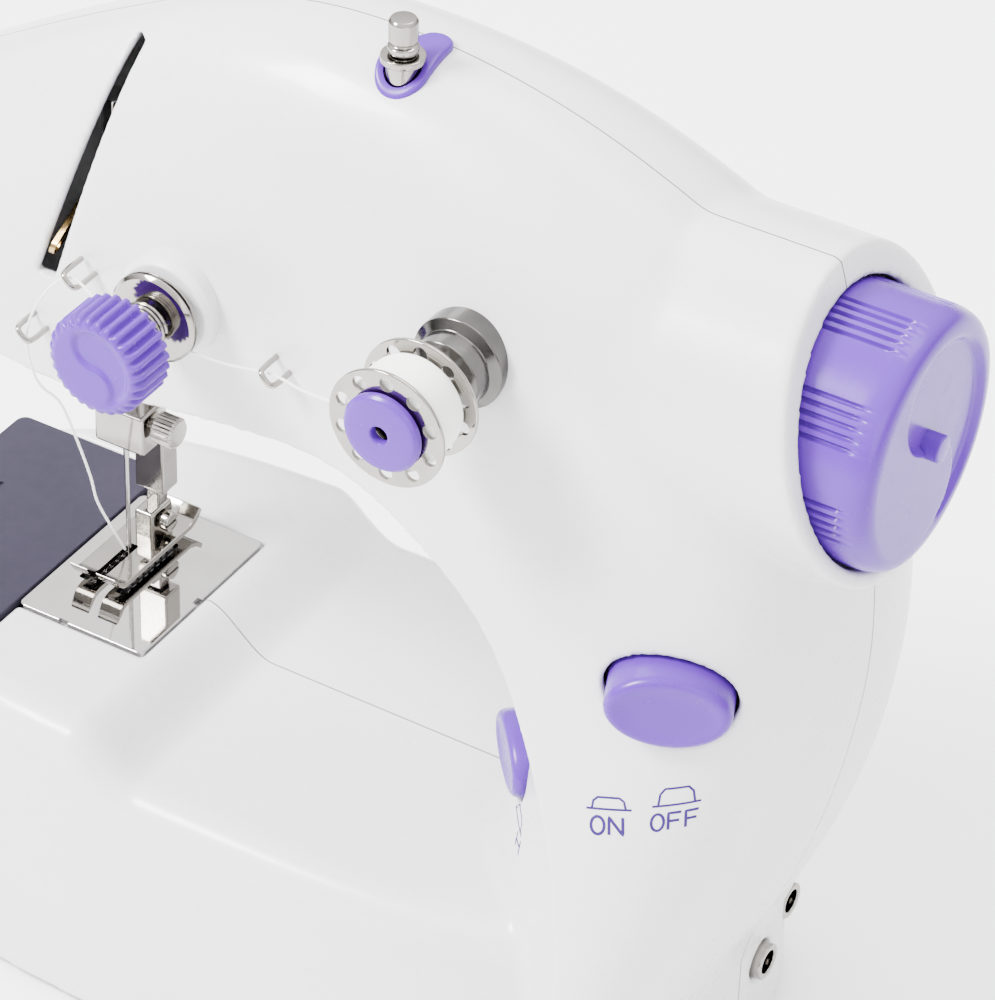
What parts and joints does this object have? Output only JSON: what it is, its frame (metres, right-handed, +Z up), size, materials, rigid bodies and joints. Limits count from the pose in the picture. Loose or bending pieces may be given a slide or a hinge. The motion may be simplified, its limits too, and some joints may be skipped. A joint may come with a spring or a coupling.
{
  "type": "sewing machine",
  "caption": "Compact battery sewing machine with a swept C-shaped arm, handwheel, tension dial, side bobbin, push buttons and a polished needle plate on a stepped bed.",
  "frame": {"origin": "bottom centre of the bounding box of the whole machine, on the table it stands on", "axes": "+X from the needle end to the handwheel, +Y from the working side to the back, +Z up"},
  "size_m": [0.2015, 0.1016, 0.1948],
  "materials": {
    "white_plastic": "glossy moulded",
    "purple_plastic": "glossy moulded",
    "smoke_plastic": "glossy dark",
    "polished_steel": "mirror polished",
    "nickel": "nickel plated",
    "steel": "machined",
    "brass": "bright",
    "black_plastic": "moulded",
    "rubber": "matt",
    "thread": "spun"
  },
  "bodies": {
    "housing": {"front_shell": "white_plastic", "rear_shell": "white_plastic", "bottom_cover": "white_plastic", "tension_boss": "white_plastic", "spool_tab": "purple_plastic", "needle_plate": "polished_steel", "bobbin_case": "nickel", "tension_disc_rear": "nickel", "tension_disc_front": "nickel", "tension_spring": "nickel", "winder_post": "nickel", "spool_sleeve": "nickel", "thread_guide_1": "nickel", "thread_guide_2": "nickel", "thread_guide_3": "nickel", "dc_jack": "nickel", "pedal_jack": "nickel", "chassis": "steel", "motor_body": "steel", "tension_stem": "steel", "power_switch": "black_plastic", "speed_switch": "black_plastic", "battery_box": "black_plastic", "foot_pad_1": "rubber", "foot_pad_2": "rubber", "foot_pad_3": "rubber", "foot_pad_4": "rubber", "timing_belt": "rubber", "drive_belt": "rubber", "upper_thread": "thread"},
    "main_drive": {"handwheel": "purple_plastic", "main_shaft": "steel", "crank_disc": "steel", "main_pulley": "black_plastic", "timing_pulley_upper": "black_plastic"},
    "hook_drive": {"lower_shaft": "steel", "timing_pulley_lower": "black_plastic", "shuttle_hook": "steel"},
    "motor_armature": {"motor_rotor": "brass"},
    "needle_unit": {"needle_bar": "steel", "needle_clamp": "nickel", "clamp_screw": "nickel", "needle": "steel"},
    "take_up": {"take_up_lever": "brass"},
    "feed": {"feed_dog": "steel"},
    "lifter": {"presser_lever": "steel"},
    "presser_unit": {"presser_bar": "nickel", "presser_foot": "nickel", "foot_screw": "nickel"},
    "tension_dial": {"tension_knob": "purple_plastic"},
    "thread_bobbin": {"bobbin": "nickel", "bobbin_thread": "thread", "bobbin_cap": "purple_plastic"},
    "under_bobbin": {"lower_bobbin": "nickel"},
    "spool_rod": {"spool_pin": "nickel"},
    "power_key": {"power_button": "purple_plastic"},
    "speed_key": {"speed_button": "purple_plastic"},
    "bed_cover": {"slide_cover": "smoke_plastic"},
    "door": {"battery_door": "white_plastic"}
  },
  "joints": [
    {"name": "handwheel_spin", "type": "hinge", "parent": "housing", "child": "main_drive", "pos_m": [0.0493, 0.0012, 0.1448], "axis": [1, 0, 0], "continuous": true},
    {"name": "lower_shaft_spin", "type": "hinge", "parent": "housing", "child": "hook_drive", "pos_m": [-0.0007, 0.0012, 0.039], "axis": [1, 0, 0], "continuous": true},
    {"name": "motor_spin", "type": "hinge", "parent": "housing", "child": "motor_armature", "pos_m": [0.0543, 0.0012, 0.102], "axis": [1, 0, 0], "continuous": true},
    {"name": "needle_slide", "type": "slide", "parent": "housing", "child": "needle_unit", "axis": [0, 0, 1], "range_m": [-0.008, 0.012]},
    {"name": "take_up_swing", "type": "hinge", "parent": "housing", "child": "take_up", "pos_m": [-0.05022, -0.0028, 0.148], "axis": [-0.9416, -0.1506, 0.3013], "range_deg": [-40, 60]},
    {"name": "feed_slide", "type": "slide", "parent": "housing", "child": "feed", "axis": [0, 1, 0], "range_m": [-0.0012, 0.0012]},
    {"name": "lifter_turn", "type": "hinge", "parent": "housing", "child": "lifter", "pos_m": [-0.0545, 0.0212, 0.12], "axis": [0, -1, 0], "range_deg": [0, 85]},
    {"name": "presser_slide", "type": "slide", "parent": "housing", "child": "presser_unit", "axis": [0, 0, 1], "range_m": [0, 0.005]},
    {"name": "tension_turn", "type": "hinge", "parent": "housing", "child": "tension_dial", "pos_m": [-0.0244, -0.0418, 0.1392], "axis": [0, -1, 0], "range_deg": [-360, 360]},
    {"name": "bobbin_spin", "type": "hinge", "parent": "housing", "child": "thread_bobbin", "pos_m": [0.0315, -0.0438, 0.1513], "axis": [0, -1, 0], "continuous": true},
    {"name": "lower_bobbin_spin", "type": "hinge", "parent": "housing", "child": "under_bobbin", "pos_m": [-0.0707, 0.0012, 0.039], "axis": [1, 0, 0], "continuous": true},
    {"name": "spool_pin_slide", "type": "slide", "parent": "housing", "child": "spool_rod", "axis": [0, 0, 1], "range_m": [0, 0.028]},
    {"name": "power_push", "type": "slide", "parent": "housing", "child": "power_key", "axis": [-0.4024, 0.9155, 0], "range_m": [0, 0.003]},
    {"name": "speed_push", "type": "slide", "parent": "housing", "child": "speed_key", "axis": [0.7507, 0.6606, 0], "range_m": [0, 0.0025]},
    {"name": "cover_slide", "type": "slide", "parent": "housing", "child": "bed_cover", "axis": [-1, 0, 0], "range_m": [0, 0.03]},
    {"name": "door_hinge", "type": "hinge", "parent": "housing", "child": "door", "pos_m": [0.0053, 0.0335, 0.0025], "axis": [1, 0, 0], "range_deg": [0, 100]}
  ],
  "couplings": [
    {"joint": "lower_shaft_spin", "follows": "handwheel_spin", "ratio": 1},
    {"joint": "motor_spin", "follows": "handwheel_spin", "ratio": 3.4286},
    {"joint": "take_up_swing", "follows": "needle_slide", "rad_per_m": 87.266},
    {"joint": "lifter_turn", "follows": "presser_slide", "rad_per_m": 296.71}
  ]
}
